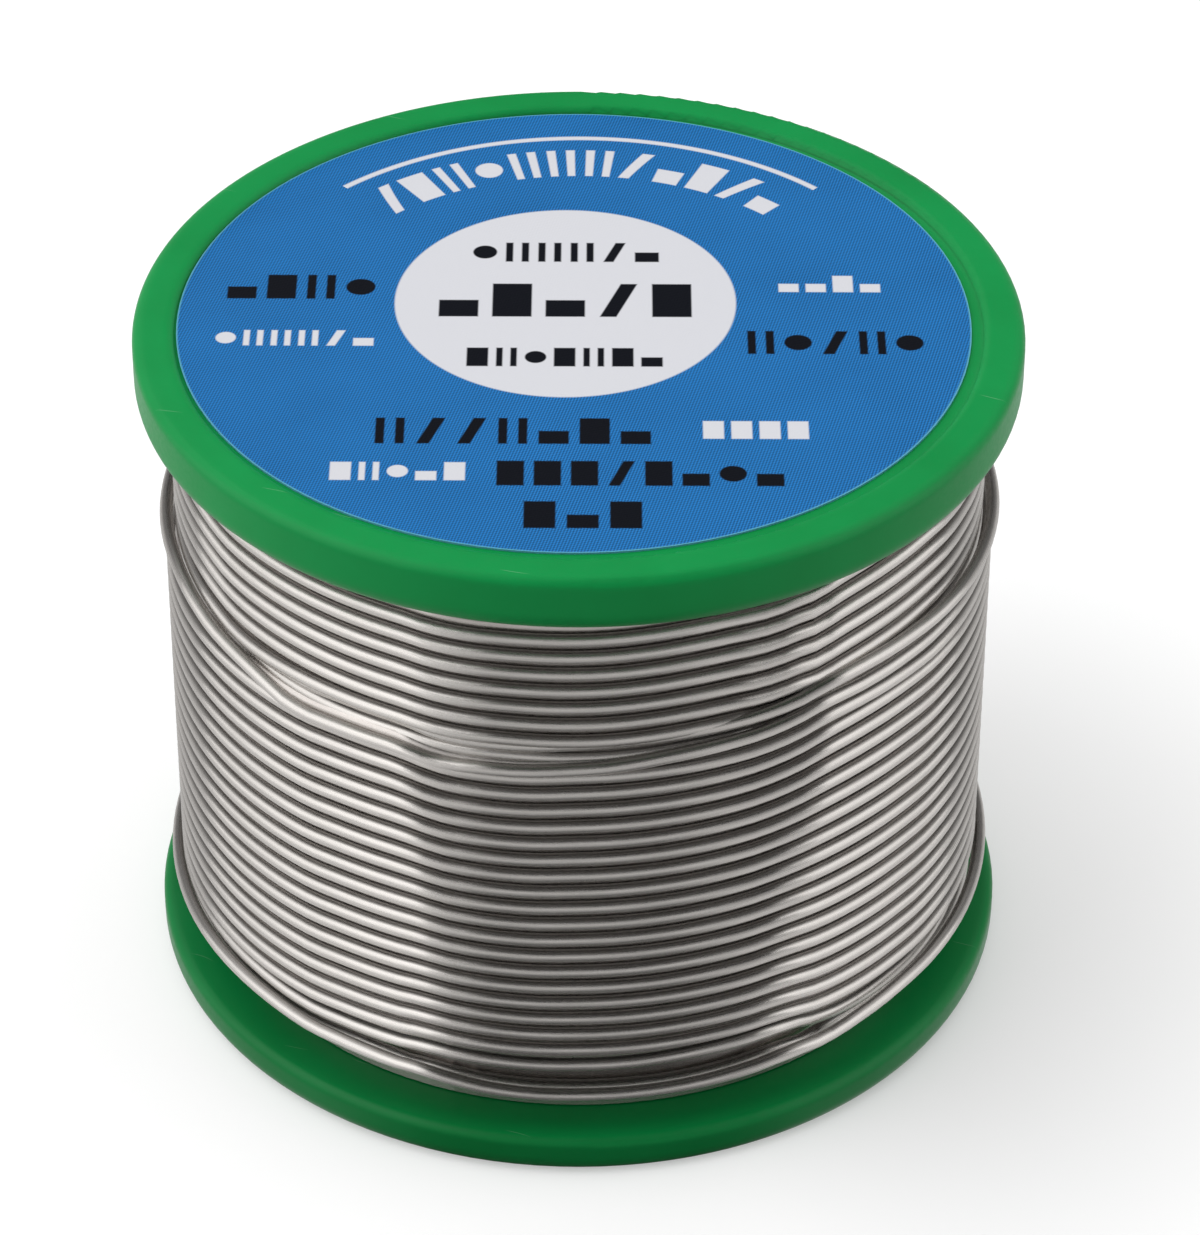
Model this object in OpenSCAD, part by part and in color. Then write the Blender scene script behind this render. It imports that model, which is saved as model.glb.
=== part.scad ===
// Solder wire spool: a two-part moulded reel, its face label and the wire wound on it.
// The reel stands on its lower flange. Z = 0 is the underside and Z is the spindle axis.

/* [Reel] */
// Diameter of both flanges
flange_d = 65; // [64:0.5:80]
// Height of the whole reel over both flanges
reel_h = 54.4; // [52:0.2:70]
// Thickness of the upper flange
upper_flange_t = 4.6; // [3.6:0.1:6]
// Thickness of the lower flange
lower_flange_t = 3.3; // [2.6:0.1:4]
// Radius of the crisp upper edge of each flange
upper_edge_r = 0.6; // [0.3:0.1:1]
// Radius of the soft lower edge of each flange
lower_edge_r = 1.5; // [0.8:0.1:1.6]
// Radius of the soft inner edge of each label seat
seat_edge_r = 0.4; // [0.2:0.1:0.4]

/* [Hub] */
// Outer diameter of the barrel that carries the wire
barrel_d = 28; // [26:0.5:34]
// Wall of the barrel
barrel_wall = 1.6; // [1.2:0.1:2]
// Bore for the spindle of a reel stand
bore_d = 16; // [12:0.5:17]
// Wall of the spindle tube
spindle_wall = 1.5; // [1:0.1:1.6]
// Number of ribs between the spindle tube and the barrel
rib_count = 6; // [3:1:8]
// Thickness of a rib
rib_t = 1.2; // [0.8:0.1:1.6]
// Length of the upper flange's collar inside the barrel
collar_l = 4; // [2.5:0.5:8]
// Wall of that collar
collar_wall = 1.4; // [1:0.1:2]
// Clearance round the collar
collar_gap = 0.05; // [0.02:0.01:0.1]
// Gap between the collar and the ends of the ribs
rib_gap = 0.3; // [0.1:0.1:1]

/* [Label] */
// Diameter of the label
label_d = 57.9; // [50:0.1:58.5]
// Thickness of the label
label_t = 0.15; // [0.1:0.05:0.3]
// How far the label lies off centre, to the left
label_off_x = 0.35; // [0:0.05:0.5]
// How far the label lies off centre, to the back
label_off_y = 0.25; // [0:0.05:0.5]
// Depth of the seat that each flange has for a label
seat_depth = 0.45; // [0.4:0.05:0.8]
// Clearance between the label's edge and its seat
label_gap = 0.1; // [0.05:0.05:0.3]

/* [Wire] */
// Diameter of the wire
wire_d = 1; // [0.7:0.05:1.05]
// Distance from one turn to the next
wire_pitch = 1.46; // [1.42:0.01:1.6]
// Diameter over the outer layer of turns
winding_d = 61.7; // [50:0.1:62]
// Turns of the outer layer, with the part turn at its free end
outer_turns = 22.15; // [12:0.05:22.5]
// How far the first turn of the outer layer stands proud of the others
proud_step = 0.85; // [0.2:0.05:0.9]
// How far the slack last turn stands proud of the others
slack_step = 0.3; // [0:0.05:0.6]
// Height of the middle of the wire where the outer layer starts, over the lower flange
outer_start_h = 2; // [1.8:0.1:3]
// Clearance between the outer layer and the layers under it
layer_gap = 0.08; // [0.02:0.02:0.3]
// Distance from the free end of the outer layer to the start of the turns that show above it
open_lead = 8; // [4:1:20]
// Clearance between the winding and the reel
winding_gap = 0.1; // [0.05:0.05:0.3]
// How far the winding draws in from the lower flange at its outer edge
taper_h = 1.3; // [0.5:0.1:1.4]
// Depth of that taper, measured along the radius
taper_w = 3; // [1:0.5:6]
// Diameter of the hole that the wire's start goes down through
start_hole_d = 1.8; // [1.4:0.1:2.4]
// Wall between that hole and the barrel
start_hole_margin = 0.4; // [0.2:0.1:2]
// How far the wire's start ends above the underside of the lower flange's web
start_inset = 0.5; // [0.2:0.1:1]

/* [Hidden] */
$fn = 96;

// What a cut runs past the faces that it opens
cut = 1;
flange_r = flange_d / 2;
barrel_r = barrel_d / 2;
bore_r = bore_d / 2;
spindle_r = bore_r + spindle_wall;
barrel_in_r = barrel_r - barrel_wall;
collar_r = barrel_in_r - collar_gap;
// The upper flange's inner face, which rests on the barrel
upper_z = reel_h - upper_flange_t;
rib_top_z = upper_z - collar_l - rib_gap;
// Both label seats share one radius, which also takes the label's shift
seat_r = label_d / 2 + norm([label_off_x, label_off_y]) + label_gap;

// The winding: radius of the middle of the wire in the outer layer
layer_r = winding_d / 2 - wire_d / 2;
rings_per_turn = 24;
tube_sides = 6;
// A turn is drawn with straight stretches, which dip below its true radius
dip_r = (layer_r - wire_d / 2) * cos(180 / rings_per_turn);
covered_r = dip_r - layer_gap;
// The turns nest, so the layer under the outer one lies this much deeper
nest_h = sqrt(max(0, wire_d * wire_d - wire_pitch * wire_pitch / 4));
outer_start_z = lower_flange_t + outer_start_h;
winding_bottom_z = lower_flange_t + winding_gap;
winding_top_z = upper_z - winding_gap;
// The layer under the outer one shows above it. Its turns are counted on from the outer layer's.
open_r = layer_r - nest_h;
open_core_r = (open_r - wire_d / 2) * cos(180 / rings_per_turn) - layer_gap;
open_first_turn = outer_turns + open_lead / (2 * PI * layer_r);
open_last_turn = (winding_top_z - wire_d / 2 - outer_start_z) / wire_pitch;
// The ledge on which the first of these turns lies
ledge_z = outer_start_z + wire_pitch * open_first_turn - wire_d / 2 - layer_gap;
// The pocket where the wire climbs out of the layers below
pocket_r = covered_r - wire_d + layer_gap;
climb_r = pocket_r + wire_d / 2 + layer_gap;
pocket_l = sqrt(layer_r * layer_r - climb_r * climb_r) + 2 * wire_d;
pocket_h = wire_d + 2 * layer_gap + wire_pitch / 8;
outer_start_angle = 90;
start_r = barrel_r + start_hole_margin + start_hole_d / 2;

module reel_green() { color([0.10, 0.50, 0.24]) children(); }
module label_blue() { color([0.16, 0.44, 0.67]) children(); }
module solder() { color([0.72, 0.70, 0.68]) children(); }

// ---- flanges ----

// What a round of radius r takes off a square corner at the origin, seen from the lower left
module corner_cut(r) {
    difference() {
        translate([-r, -r]) square(r + cut);
        translate([-r, -r]) circle(r);
    }
}

// Half section of a label seat in a face at height 0, looking down
module seat_cut() {
    translate([0, -seat_depth]) square([seat_r, 2 * seat_depth]);
    translate([seat_r, 0]) mirror([1, 0]) corner_cut(seat_edge_r);
}

// Half section of a flange disc of thickness t, with a label seat in one face
module flange_section(t, seat_on_top) {
    difference() {
        translate([bore_r, 0]) square([flange_r - bore_r, t]);
        translate([flange_r, t]) corner_cut(upper_edge_r);
        translate([flange_r, 0]) mirror([0, 1]) corner_cut(lower_edge_r);
        if (seat_on_top) translate([0, t]) seat_cut();
        if (!seat_on_top) mirror([0, 1]) seat_cut();
    }
}

// ---- reel body: lower flange, barrel, ribs and spindle tube in one moulding ----

// The hollow between the spindle tube and the barrel, open at both ends
module hub_hollow() {
    difference() {
        translate([0, 0, -cut]) cylinder(r = barrel_in_r, h = upper_z + 2 * cut);
        translate([0, 0, -2 * cut]) cylinder(r = spindle_r, h = upper_z + 4 * cut);
        for (i = [0 : rib_count - 1])
            rotate([0, 0, i * 360 / rib_count])
                translate([0, -rib_t / 2, -2 * cut])
                    cube([barrel_in_r + cut, rib_t, rib_top_z + 2 * cut]);
    }
}

module reel_body() {
    reel_green()
    difference() {
        union() {
            rotate_extrude() flange_section(lower_flange_t, false);
            translate([0, 0, seat_depth]) cylinder(r = barrel_r, h = upper_z - seat_depth);
        }
        translate([0, 0, -cut]) cylinder(r = bore_r, h = upper_z + 2 * cut);
        hub_hollow();
        translate([start_r, 0, -cut]) cylinder(d = start_hole_d, h = lower_flange_t + 2 * cut);
    }
}

// ---- upper flange, with the collar that plugs into the barrel ----

module upper_flange() {
    reel_green()
    union() {
        translate([0, 0, upper_z]) rotate_extrude() flange_section(upper_flange_t, true);
        translate([0, 0, upper_z - collar_l])
            difference() {
                cylinder(r = collar_r, h = collar_l);
                translate([0, 0, -cut]) cylinder(r = collar_r - collar_wall, h = collar_l + cut);
            }
    }
}

module face_label() {
    label_blue()
    translate([-label_off_x, label_off_y, reel_h - seat_depth])
        cylinder(d = label_d, h = label_t);
}

// ---- wire ----

// The first end of the wire, down through its hole in the lower flange
module wire_start() {
    solder()
    translate([start_r, 0, seat_depth + start_inset])
        cylinder(d = wire_d, h = winding_bottom_z - seat_depth - start_inset);
}

// The layers that don't show, as a plain core with a ledge where the outer layer ends
module wire_inner_layers() {
    solder()
    difference() {
        rotate_extrude()
            polygon([
                [barrel_r + winding_gap, winding_bottom_z],
                [covered_r - taper_w, winding_bottom_z],
                [covered_r, winding_bottom_z + taper_h],
                [covered_r, ledge_z],
                [open_core_r, ledge_z],
                [open_core_r, winding_top_z],
                [barrel_r + winding_gap, winding_top_z]
            ]);
        rotate([0, 0, outer_start_angle])
            translate([pocket_r, 0, lower_flange_t])
                cube([2 * wire_d, pocket_l, outer_start_h + pocket_h / 2]);
    }
}

// Rings of a stretch of wire from turn a to turn b. Both ends run straight for one diameter, so
// the rings beside them lie that far away.
end_step = wire_d / (2 * PI * layer_r);
function ring_turns(a, b) = concat(
    [a, a + end_step],
    [for (i = [floor((a + end_step) * rings_per_turn) + 1 : ceil((b - end_step) * rings_per_turn) - 1])
        i / rings_per_turn],
    [b - end_step, b]
);

function turn_angle(t) = outer_start_angle + 360 * t;

// Middle of the wire t turns from the start of the outer layer, at radius r
function wire_point(t, r) =
    [r * cos(turn_angle(t)), r * sin(turn_angle(t)), outer_start_z + wire_pitch * t];

function unit(v) = v / norm(v);

// Direction of the wire at ring i: square to the radius at both ends
function wire_direction(turns, centres, i) =
    i == 0 || i == len(turns) - 1
    ? let (a = turn_angle(turns[i])) [-sin(a), cos(a), 0]
    : unit(unit(centres[i + 1] - centres[i]) + unit(centres[i] - centres[i - 1]));

function ring_points(turns, centres, i) =
    let (
        along = wire_direction(turns, centres, i),
        a = turn_angle(turns[i]),
        up = unit(cross(along, -[cos(a), sin(a), 0])),
        out = cross(along, up)
    )
    [for (k = [0 : tube_sides - 1])
        centres[i] + wire_d / 2 * (cos(360 * k / tube_sides) * out + sin(360 * k / tube_sides) * up)];

// A stretch of wire as one unbroken tube
module wire_tube(turns, centres) {
    last = (len(turns) - 1) * tube_sides;
    points = [for (i = [0 : len(turns) - 1]) each ring_points(turns, centres, i)];
    sides = [
        for (i = [0 : len(turns) - 2], k = [0 : tube_sides - 1])
            let (
                k2 = (k + 1) % tube_sides,
                a = i * tube_sides + k,
                b = i * tube_sides + k2,
                c = a + tube_sides,
                d = b + tube_sides
            )
            each [[a, b, d], [a, d, c]]
    ];
    first_cap = [for (k = [1 : tube_sides - 2]) [0, k + 1, k]];
    last_cap = [for (k = [1 : tube_sides - 2]) [last, last + k, last + k + 1]];
    polyhedron(points = points, faces = concat(sides, first_cap, last_cap));
}

open_rings = ring_turns(open_first_turn, open_last_turn);
open_centres = [for (t = open_rings) wire_point(t, open_r)];

// The turns of the layer under the outer one that show above the ledge
module wire_open_turns() {
    solder() wire_tube(open_rings, open_centres);
}

// Rise of a smooth hump, from 0 at a over 1 in the middle to 0 at b
function hump(t, a, b) = t <= a || t >= b ? 0 : (1 - cos(360 * (t - a) / (b - a))) / 2;

// Radius of the outer layer at turn t. The wire leaves its pocket in a straight line, crosses
// the layer on a proud turn and ends on a slack one.
function outer_r(t) =
    let (
        climb = t < 0.2 ? climb_r / cos(360 * t) : flange_d,
        laid = layer_r + proud_step * hump(t, 0, 1) + slack_step * hump(t, outer_turns - 1.5, outer_turns)
    )
    min(climb, laid);

outer_rings = ring_turns(0, outer_turns);
outer_centres = [for (t = outer_rings) wire_point(t, outer_r(t))];

module wire_outer_layer() {
    solder() wire_tube(outer_rings, outer_centres);
}

// Distance from point p to the straight stretch from a to b
function stretch_distance(p, a, b) =
    let (s = max(0, min(1, (p - a) * (b - a) / ((b - a) * (b - a)))))
    norm(p - a - s * (b - a));

// Least gap between a stretch of wire and its own neighbouring turns
function least_gap(centres) =
    min([
        for (i = [0 : len(centres) - rings_per_turn])
            for (j = [i + rings_per_turn - 4 : min(len(centres) - 2, i + rings_per_turn + 5)])
                stretch_distance(centres[i], centres[j], centres[j + 1])
    ]) - wire_d;

// Least gap between the turns of the two layers
function layers_gap() =
    min([
        for (p = outer_centres)
            for (j = [0 : min(2 * rings_per_turn, len(open_centres) - 2)])
                stretch_distance(p, open_centres[j], open_centres[j + 1])
    ]) - wire_d;

echo(str("least gap between turns of the outer layer: ", least_gap(outer_centres), " mm"));
echo(str("least gap between turns above the ledge: ", least_gap(open_centres), " mm"));
echo(str("least gap between the two layers: ", layers_gap(), " mm"));

reel_body();
upper_flange();
face_label();
wire_start();
wire_inner_layers();
wire_open_turns();
wire_outer_layer();
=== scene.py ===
import math

import bpy
from mathutils import Matrix, Vector


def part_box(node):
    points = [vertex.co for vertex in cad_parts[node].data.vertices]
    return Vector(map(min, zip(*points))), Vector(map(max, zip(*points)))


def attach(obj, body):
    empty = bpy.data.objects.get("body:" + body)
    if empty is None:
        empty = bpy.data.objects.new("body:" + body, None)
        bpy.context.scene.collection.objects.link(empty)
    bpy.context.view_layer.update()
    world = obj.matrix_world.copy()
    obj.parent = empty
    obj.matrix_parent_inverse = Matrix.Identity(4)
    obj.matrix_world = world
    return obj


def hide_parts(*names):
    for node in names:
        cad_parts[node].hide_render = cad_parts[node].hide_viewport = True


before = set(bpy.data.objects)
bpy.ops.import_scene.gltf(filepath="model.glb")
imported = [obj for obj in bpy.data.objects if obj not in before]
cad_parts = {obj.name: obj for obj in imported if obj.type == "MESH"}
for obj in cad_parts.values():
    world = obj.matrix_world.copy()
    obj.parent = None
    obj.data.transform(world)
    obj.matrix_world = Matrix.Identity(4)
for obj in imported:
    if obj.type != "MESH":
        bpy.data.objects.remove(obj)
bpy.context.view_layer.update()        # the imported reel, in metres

mm = 0.001
scene = bpy.context.scene
print("frame loaded:", sorted(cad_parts))


# ---- small helpers for node trees

def addNode(tree, kind, settings=None, inputs=None):
    node = tree.nodes.new(kind)
    for name, value in (settings or {}).items():
        setattr(node, name, value)
    for name, value in (inputs or {}).items():
        feed(tree, value, node.inputs[name])
    return node


def feed(tree, value, socket):
    if isinstance(value, bpy.types.NodeSocket):
        tree.links.new(value, socket)
    else:
        socket.default_value = value


def calc(tree, operation, *values):
    node = tree.nodes.new("ShaderNodeMath")
    node.operation = operation
    for value, socket in zip(values, node.inputs):
        feed(tree, value, socket)
    return node.outputs[0]


def remap(tree, value, fromLow, fromHigh, toLow, toHigh, smooth=False):
    kind = "SMOOTHSTEP" if smooth else "LINEAR"
    node = addNode(tree, "ShaderNodeMapRange", {"interpolation_type": kind, "clamp": True})
    for socket, number in zip(node.inputs, (value, fromLow, fromHigh, toLow, toHigh)):
        feed(tree, number, socket)
    return node.outputs[0]


def ease(tree, *numbers):    # remap with soft ends
    return remap(tree, *numbers, smooth=True)


def split(tree, vector):
    return addNode(tree, "ShaderNodeSeparateXYZ", inputs={"Vector": vector}).outputs


def followCurve(tree, position, points):    # a smooth curve through (position, value) points
    margin = 0.01                           # keeps the points off the ends of the curve's box
    values = [value for place, value in points]
    low, high = min(values) - margin, max(values) + margin
    node = addNode(tree, "ShaderNodeFloatCurve", inputs={"Factor": 1.0, "Value": position})
    line = node.mapping.curves[0]
    while len(line.points) < len(points):
        line.points.new(0.5, 0.5)
    for point, (place, value) in zip(line.points, points):
        point.location = (place, (value - low) / (high - low))
        point.handle_type = "AUTO_CLAMPED"
    node.mapping.update()
    return calc(tree, "MULTIPLY_ADD", node.outputs[0], high - low, low)


def newGroup(name, kind, inputs, outputs):
    tree = bpy.data.node_groups.new(name, kind)
    for label, socketKind, default in inputs:
        socket = tree.interface.new_socket(name=label, in_out="INPUT", socket_type=socketKind)
        if default is not None:
            socket.default_value = default
    for label, socketKind in outputs:
        tree.interface.new_socket(name=label, in_out="OUTPUT", socket_type=socketKind)
    return tree, tree.nodes.new("NodeGroupInput"), tree.nodes.new("NodeGroupOutput")


def newMaterial(name):
    material = bpy.data.materials.new(name)
    material.use_nodes = True
    tree = material.node_tree
    tree.nodes.clear()
    shader = tree.nodes.new("ShaderNodeBsdfPrincipled")
    output = tree.nodes.new("ShaderNodeOutputMaterial")
    tree.links.new(shader.outputs[0], output.inputs[0])
    return material, tree, shader


# ---- camera

cameraFacts = {
    "elevation": 36.561,       # degrees above the floor
    "roll": -0.190,            # degrees
    "distance": 383.84 * mm,   # to the middle of the upper face
    "focal": 5271.24,          # in pixels of a 1200 x 1235 image
    "imageSize": (1200, 1235),
    "aim": (578.84, 318.58),   # pixel where the middle of the upper face stands
    "aimHeight": 54.4 * mm,
    "sensor": 36.0,
    "clipStart": 10 * mm,
}


def makeCamera(facts):
    elevation, roll = math.radians(facts["elevation"]), math.radians(facts["roll"])
    right = Vector((1, 0, 0))
    up = Vector((0, math.sin(elevation), math.cos(elevation)))
    forward = Vector((0, math.cos(elevation), -math.sin(elevation)))
    right, up = (
        right * math.cos(roll) - up * math.sin(roll),
        right * math.sin(roll) + up * math.cos(roll),
    )
    width, height = facts["imageSize"]
    perPixel = facts["distance"] / facts["focal"]
    aside = (facts["aim"][0] - width / 2) * perPixel
    above = (height / 2 - facts["aim"][1]) * perPixel
    middle = Vector((0, 0, facts["aimHeight"]))
    place = middle - aside * right - above * up - facts["distance"] * forward
    data = bpy.data.cameras.new("studioCamera")
    data.sensor_fit = "AUTO"
    data.sensor_width = facts["sensor"]
    data.lens = facts["focal"] * facts["sensor"] / max(width, height)
    data.clip_start = facts["clipStart"]
    camera = bpy.data.objects.new("studioCamera", data)
    scene.collection.objects.link(camera)
    camera.matrix_world = Matrix((
        (right.x, up.x, -forward.x, place.x),
        (right.y, up.y, -forward.y, place.y),
        (right.z, up.z, -forward.z, place.z),
        (0, 0, 0, 1),
    ))
    scene.camera = camera


makeCamera(cameraFacts)
print("camera set")


# ---- wire: helices made by geometry nodes

wireFacts = {
    "diameter": 1.0 * mm,
    "pitch": 1.4625 * mm,
    "layerStep": 0.683 * mm,      # from one layer to the next, its turns nested in the grooves
    "ringsPerTurn": 144,
    "pivotHeight": 22.37 * mm,    # the turns fan out above and below this height
    "turnsBelowPivot": 10.5,
}

# How the covered layers lie round the reel, as points of two curves. Place 0 or 1 is the back,
# 0.25 the left, 0.5 the front and 0.75 the right. Spread is how much the turns fan out from the
# pivot height, as a share of their distance from it, and shift lifts them, in mm.
coveredLie = {
    "spread": [
        (0.0, 0.03), (0.2, 0.06), (0.333, 0.060), (0.389, 0.052), (0.43, 0.041), (0.458, 0.012),
        (0.5, 0.021), (0.569, 0.032), (0.589, 0.057), (0.633, 0.105), (0.69, 0.100), (0.8, 0.06),
        (1.0, 0.03),
    ],
    "shift": [
        (0.0, -0.2), (0.25, -0.4), (0.333, -0.25), (0.389, -0.12), (0.43, 0.19), (0.458, -0.1),
        (0.5, 0.1), (0.569, 0.22), (0.589, 0.33), (0.633, 0.24), (0.667, -0.08), (0.75, -0.25),
        (1.0, -0.2),
    ],
}

# how the turns above the ledge lie round the reel, in the same way
openLie = {
    "spread": [
        (0.0, 0.0), (0.458, 0.0), (0.5, 0.006), (0.569, 0.012), (0.6, 0.05), (0.64, 0.07),
        (0.667, 0.05), (0.69, 0.03), (0.75, 0.0), (1.0, 0.0),
    ],
    "shift": [
        (0.0, 1.38), (0.25, 1.6), (0.306, 1.3), (0.333, 0.9), (0.347, 0.7), (0.389, 0.62),
        (0.43, 0.5), (0.458, 0.2), (0.472, 0.25), (0.5, 0.18), (0.528, 0.28), (0.553, 0.38),
        (0.569, 0.2), (0.589, 0.0), (0.6, -0.45), (0.64, -0.45), (0.667, -0.25), (0.69, 0.0),
        (0.75, 0.7), (0.85, 1.2), (1.0, 1.38),
    ],
}

outerFacts = {
    "radius": 30.35 * mm,
    "startTurn": -1.0,            # turn 0 starts at the back, below the first proud turn
    "endTurn": 22.15,
    "sides": 16,
    "endSpan": 3.0,               # turns that the curves below cover at each end
    # (turns from the start, lift or bulge in mm)
    "startLift": [
        (0.0, 0.6), (0.333, 1.2), (0.417, 0.5), (0.46, -0.2), (0.54, -0.3), (0.6, 0.6),
        (0.667, 1.6), (1.0, 1.2), (1.25, 1.2), (1.333, 1.15), (1.389, 0.6), (1.417, 0.3),
        (1.458, -0.4), (1.5, -0.75), (1.56, -0.55), (1.602, 0.4), (1.636, 1.1), (1.684, 1.4),
        (1.75, 1.3), (2.0, 0.45), (2.333, 0.45), (2.389, 0.15), (2.5, 0.0), (2.57, 0.2),
        (2.6, -0.3), (2.64, -0.9), (2.76, -0.9), (2.9, -0.2), (3.0, 0.0),
    ],
    "startBulge": [
        (0.0, -0.6), (0.333, -0.5), (0.42, -1.2), (0.46, -1.35), (0.55, -1.35), (0.6, -1.1),
        (0.667, -0.5), (0.9, 0.0), (1.1, 0.6), (1.25, 0.8), (1.7, 0.85), (1.85, 0.7), (2.2, 0.0),
        (2.57, 0.0), (2.62, -0.8), (2.77, -0.8), (2.9, -0.2), (3.0, 0.0),
    ],
    # (turns from the point that is endSpan before the end, lift or bulge in mm)
    "endLift": [
        (0.0, 0.0), (0.42, -0.1), (0.475, -0.42), (0.52, -0.5), (0.6, -0.4), (0.7, 0.0),
        (1.0, 1.2), (1.128, 1.4), (1.156, 1.05), (1.183, 0.3), (1.21, -0.3), (1.225, -0.8),
        (1.242, -1.3), (1.28, -1.3), (1.308, -1.0), (1.35, -0.9), (1.394, -0.35), (1.43, -0.25),
        (1.475, -0.7), (1.52, -0.6), (1.6, -0.6), (1.9, -1.0), (2.183, -1.0), (2.239, -0.95),
        (2.308, -0.85), (2.35, -0.8), (2.41, -0.6), (2.44, -0.5), (2.475, -0.5), (2.53, -0.3),
        (2.6, -0.5), (3.0, -1.2),
    ],
    "endBulge": [
        (0.0, 0.0), (0.7, 0.0), (1.0, 0.4), (1.183, 0.2), (1.21, 0.1), (1.242, 0.1), (1.3, 0.0),
        (1.7, 0.0), (1.9, -0.7), (2.183, -0.9), (2.35, -0.9), (2.4, -0.7), (2.45, 0.0),
        (2.5, 0.3), (2.55, 0.45), (2.7, 0.45), (3.0, 0.2),
    ],
}

# the layer under the outer one; height is in pitches above the outer turns
nestedFacts = {
    "radius": 29.667 * mm, "startTurn": 1.75, "endTurn": 20.2, "height": 0.5, "sides": 10,
}

# the turns above the ledge
openFacts = {
    "radius": 29.58 * mm,
    "startTurn": -0.95,
    "endTurn": 7.62,
    "lowestHeight": 37.42 * mm,
    "sides": 16,
    "endSpan": 2.0,
    "startLift": [
        (0.0, 0.0), (0.8, 0.0), (1.2, -0.6), (1.283, -0.5), (1.339, -0.15), (1.4, 0.0),
        (2.0, 0.0),
    ],
    "startBulge": [
        (0.0, -0.7), (0.3, -0.4), (0.37, -0.1), (0.45, -0.1), (0.6, -0.3), (1.0, -0.2),
        (1.2, 0.0), (2.0, 0.0),
    ],
    "endLift": [
        (0.0, 0.0), (1.2, 0.0), (1.5, -0.1), (1.63, -0.45), (1.72, -0.1), (1.79, 0.3),
        (1.82, 0.45), (1.88, 0.42), (1.91, 0.22), (1.94, -0.05), (1.96, -0.3), (2.0, -0.8),
    ],
    "endBulge": [(0.0, 0.0), (1.85, 0.0), (1.95, -0.3), (2.0, -0.9)],
}

# the layer under the turns above the ledge, in turns against them
underFacts = {"sides": 8, "startsEarlier": 1.0, "endsEarlier": 0.9}


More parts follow.
